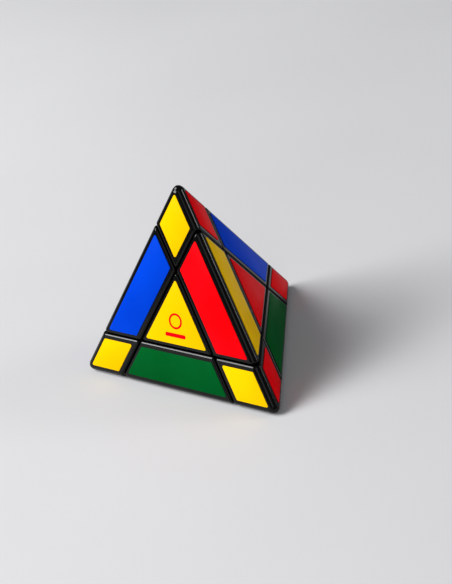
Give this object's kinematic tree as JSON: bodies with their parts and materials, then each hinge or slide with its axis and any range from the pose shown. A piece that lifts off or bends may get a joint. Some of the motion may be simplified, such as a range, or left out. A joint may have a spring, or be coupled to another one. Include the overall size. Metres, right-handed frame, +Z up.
{
  "type": "pyramid twisty puzzle",
  "caption": "Four-sided pyramid twisty puzzle: every face layer, with its centre, edge and corner pieces, turns about a shared core.",
  "frame": {"origin": "middle of the face that the puzzle stands on, on the surface of its stickers", "axes": "+Z up through the top point; the front face looks along -Y and up; +X to the right seen from the front"},
  "size_m": [0.0924, 0.0802, 0.0756],
  "materials": {
    "black_plastic": "glossy moulded black plastic",
    "inner_plastic": "satin moulded black plastic",
    "steel": "plain steel",
    "sticker_yellow": "glossy vinyl",
    "sticker_red": "glossy vinyl",
    "sticker_blue": "glossy vinyl",
    "sticker_green": "glossy vinyl"
  },
  "bodies": {
    "core": {"core": "inner_plastic", "axle_screws": "steel", "tension_springs": "steel", "washers": "steel"},
    "centre_front": {"centre_front": "black_plastic", "centre_cap_front": "black_plastic", "sticker_centre_front": "sticker_yellow"},
    "centre_right": {"centre_right": "black_plastic", "centre_cap_right": "black_plastic", "sticker_centre_right": "sticker_red"},
    "centre_left": {"centre_left": "black_plastic", "centre_cap_left": "black_plastic", "sticker_centre_left": "sticker_blue"},
    "centre_base": {"centre_base": "black_plastic", "centre_cap_base": "black_plastic", "sticker_centre_base": "sticker_green"},
    "edge_front_right": {"edge_shell_front_right": "black_plastic", "edge_foot_front_right": "inner_plastic", "sticker_edge_front_right_on_front": "sticker_red", "sticker_edge_front_right_on_right": "sticker_yellow"},
    "edge_front_left": {"edge_shell_front_left": "black_plastic", "edge_foot_front_left": "inner_plastic", "sticker_edge_front_left_on_front": "sticker_blue", "sticker_edge_front_left_on_left": "sticker_yellow"},
    "edge_front_base": {"edge_shell_front_base": "black_plastic", "edge_foot_front_base": "inner_plastic", "sticker_edge_front_base_on_front": "sticker_green", "sticker_edge_front_base_on_base": "sticker_yellow"},
    "edge_right_left": {"edge_shell_right_left": "black_plastic", "edge_foot_right_left": "inner_plastic", "sticker_edge_right_left_on_right": "sticker_blue", "sticker_edge_right_left_on_left": "sticker_red"},
    "edge_right_base": {"edge_shell_right_base": "black_plastic", "edge_foot_right_base": "inner_plastic", "sticker_edge_right_base_on_right": "sticker_green", "sticker_edge_right_base_on_base": "sticker_red"},
    "edge_left_base": {"edge_shell_left_base": "black_plastic", "edge_foot_left_base": "inner_plastic", "sticker_edge_left_base_on_left": "sticker_green", "sticker_edge_left_base_on_base": "sticker_blue"},
    "corner_back": {"corner_shell_back": "black_plastic", "corner_foot_back": "inner_plastic", "sticker_corner_back_on_right": "sticker_red", "sticker_corner_back_on_left": "sticker_blue", "sticker_corner_back_on_base": "sticker_green"},
    "corner_left": {"corner_shell_left": "black_plastic", "corner_foot_left": "inner_plastic", "sticker_corner_left_on_front": "sticker_yellow", "sticker_corner_left_on_left": "sticker_blue", "sticker_corner_left_on_base": "sticker_green"},
    "corner_right": {"corner_shell_right": "black_plastic", "corner_foot_right": "inner_plastic", "sticker_corner_right_on_front": "sticker_yellow", "sticker_corner_right_on_right": "sticker_red", "sticker_corner_right_on_base": "sticker_green"},
    "corner_top": {"corner_shell_top": "black_plastic", "corner_foot_top": "inner_plastic", "sticker_corner_top_on_front": "sticker_yellow", "sticker_corner_top_on_right": "sticker_red", "sticker_corner_top_on_left": "sticker_blue"}
  },
  "joints": [
    {"name": "turn_front", "type": "hinge", "parent": "core", "child": "centre_front", "pos_m": [0, 0, 0.0202], "axis": [0, -0.9428, 0.3333], "range_deg": [-360, 360]},
    {"name": "turn_right", "type": "hinge", "parent": "core", "child": "centre_right", "pos_m": [0, 0, 0.0202], "axis": [0.8165, 0.4714, 0.3333], "range_deg": [-360, 360]},
    {"name": "turn_left", "type": "hinge", "parent": "core", "child": "centre_left", "pos_m": [0, 0, 0.0202], "axis": [-0.8165, 0.4714, 0.3333], "range_deg": [-360, 360]},
    {"name": "turn_base", "type": "hinge", "parent": "core", "child": "centre_base", "pos_m": [0, 0, 0.0202], "axis": [0, 0, -1], "continuous": true},
    {"name": "edge_front_base_with_front", "type": "hinge", "parent": "centre_base", "child": "edge_front_base", "pos_m": [0, 0, 0.0202], "axis": [0, -0.9428, 0.3333], "range_deg": [-360, 360]},
    {"name": "edge_right_base_with_right", "type": "hinge", "parent": "centre_base", "child": "edge_right_base", "pos_m": [0, 0, 0.0202], "axis": [0.8165, 0.4714, 0.3333], "range_deg": [-360, 360]},
    {"name": "edge_left_base_with_left", "type": "hinge", "parent": "centre_base", "child": "edge_left_base", "pos_m": [0, 0, 0.0202], "axis": [-0.8165, 0.4714, 0.3333], "range_deg": [-360, 360]},
    {"name": "edge_front_right_with_right", "type": "hinge", "parent": "centre_front", "child": "edge_front_right", "pos_m": [0, 0, 0.0202], "axis": [0.8165, 0.4714, 0.3333], "range_deg": [-360, 360]},
    {"name": "edge_right_left_with_left", "type": "hinge", "parent": "centre_right", "child": "edge_right_left", "pos_m": [0, 0, 0.0202], "axis": [-0.8165, 0.4714, 0.3333], "range_deg": [-360, 360]},
    {"name": "edge_front_left_with_front", "type": "hinge", "parent": "centre_left", "child": "edge_front_left", "pos_m": [0, 0, 0.0202], "axis": [0, -0.9428, 0.3333], "range_deg": [-360, 360]},
    {"name": "corner_left_with_left", "type": "hinge", "parent": "edge_front_base", "child": "corner_left", "pos_m": [0, 0, 0.0202], "axis": [-0.8165, 0.4714, 0.3333], "range_deg": [-360, 360]},
    {"name": "corner_right_with_front", "type": "hinge", "parent": "edge_right_base", "child": "corner_right", "pos_m": [0, 0, 0.0202], "axis": [0, -0.9428, 0.3333], "range_deg": [-360, 360]},
    {"name": "corner_back_with_right", "type": "hinge", "parent": "edge_left_base", "child": "corner_back", "pos_m": [0, 0, 0.0202], "axis": [0.8165, 0.4714, 0.3333], "range_deg": [-360, 360]},
    {"name": "corner_top_with_left", "type": "hinge", "parent": "edge_front_right", "child": "corner_top", "pos_m": [0, 0, 0.0202], "axis": [-0.8165, 0.4714, 0.3333], "range_deg": [-360, 360]}
  ],
  "couplings": [
    {"joint": "edge_front_base_with_front", "follows": "turn_front", "ratio": 1},
    {"joint": "edge_right_base_with_right", "follows": "turn_right", "ratio": 1},
    {"joint": "edge_left_base_with_left", "follows": "turn_left", "ratio": 1},
    {"joint": "edge_front_right_with_right", "follows": "turn_right", "ratio": 1},
    {"joint": "edge_right_left_with_left", "follows": "turn_left", "ratio": 1},
    {"joint": "edge_front_left_with_front", "follows": "turn_front", "ratio": 1},
    {"joint": "corner_left_with_left", "follows": "turn_left", "ratio": 1},
    {"joint": "corner_right_with_front", "follows": "turn_front", "ratio": 1},
    {"joint": "corner_back_with_right", "follows": "turn_right", "ratio": 1},
    {"joint": "corner_top_with_left", "follows": "turn_left", "ratio": 1}
  ]
}
